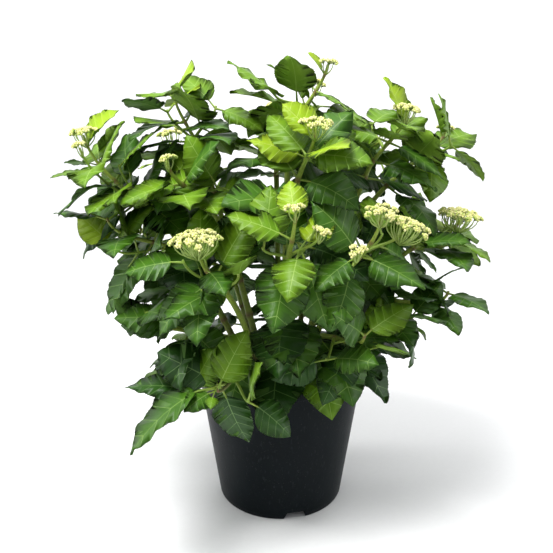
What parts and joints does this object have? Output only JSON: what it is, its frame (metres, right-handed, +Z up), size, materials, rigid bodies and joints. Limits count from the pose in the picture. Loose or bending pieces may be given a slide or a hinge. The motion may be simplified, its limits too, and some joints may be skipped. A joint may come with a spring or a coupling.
{
  "type": "potted hydrangea shrub",
  "caption": "Leafy flowering shrub in budded flower heads, with green canes rising from a round tapered nursery pot of potting mix.",
  "frame": {"origin": "centre of the pot's flat underside, where the plant stands", "axes": "+Z up along the pot's axis, -Y towards the plant's front, +X to its right as seen from the front"},
  "size_m": [0.6622, 0.538, 0.733],
  "materials": {
    "pot_plastic": "satin",
    "mix": "matte",
    "wood": "matte",
    "cane": "matte",
    "leaf": "satin",
    "bud": "matte",
    "leaf_young": "satin"
  },
  "bodies": {
    "root": {"bough_back_left": "cane", "bough_back_low": "cane", "bough_back_right": "cane", "bough_far_right_upper": "cane", "bough_front_low_left": "cane", "bough_front_low_right": "cane", "bough_inner_left": "cane", "bough_mid_left": "cane", "bough_right_low": "cane", "bough_upper_front": "cane", "cane_back_low_right": "cane", "cane_back_upper": "cane", "cane_back_upper_left": "cane", "cane_back_upper_right": "cane", "cane_far_left_upper": "cane", "cane_far_right": "cane", "cane_front_centre": "cane", "cane_front_left": "cane", "cane_front_right": "cane", "cane_low_left": "cane", "cane_top_centre": "cane", "cane_top_left": "cane", "cane_top_right": "cane", "leaves_back_left": "leaf", "leaves_back_low": "leaf", "leaves_back_low_right": "leaf", "leaves_back_right": "leaf", "leaves_back_upper": "leaf", "leaves_back_upper_left": "leaf", "leaves_back_upper_right": "leaf", "leaves_far_left_upper": "leaf", "leaves_far_right": "leaf", "leaves_far_right_upper": "leaf", "leaves_front_centre": "leaf", "leaves_front_left": "leaf", "leaves_front_low_left": "leaf", "leaves_front_low_right": "leaf", "leaves_front_right": "leaf", "leaves_inner_left": "leaf", "leaves_low_left": "leaf", "leaves_mid_left": "leaf", "leaves_right_low": "leaf", "leaves_top_centre": "leaf", "leaves_top_left": "leaf", "leaves_top_right": "leaf", "leaves_upper_front": "leaf", "pot": "pot_plastic", "potting_mix": "mix", "root_stool": "wood"}
  },
  "joints": []
}
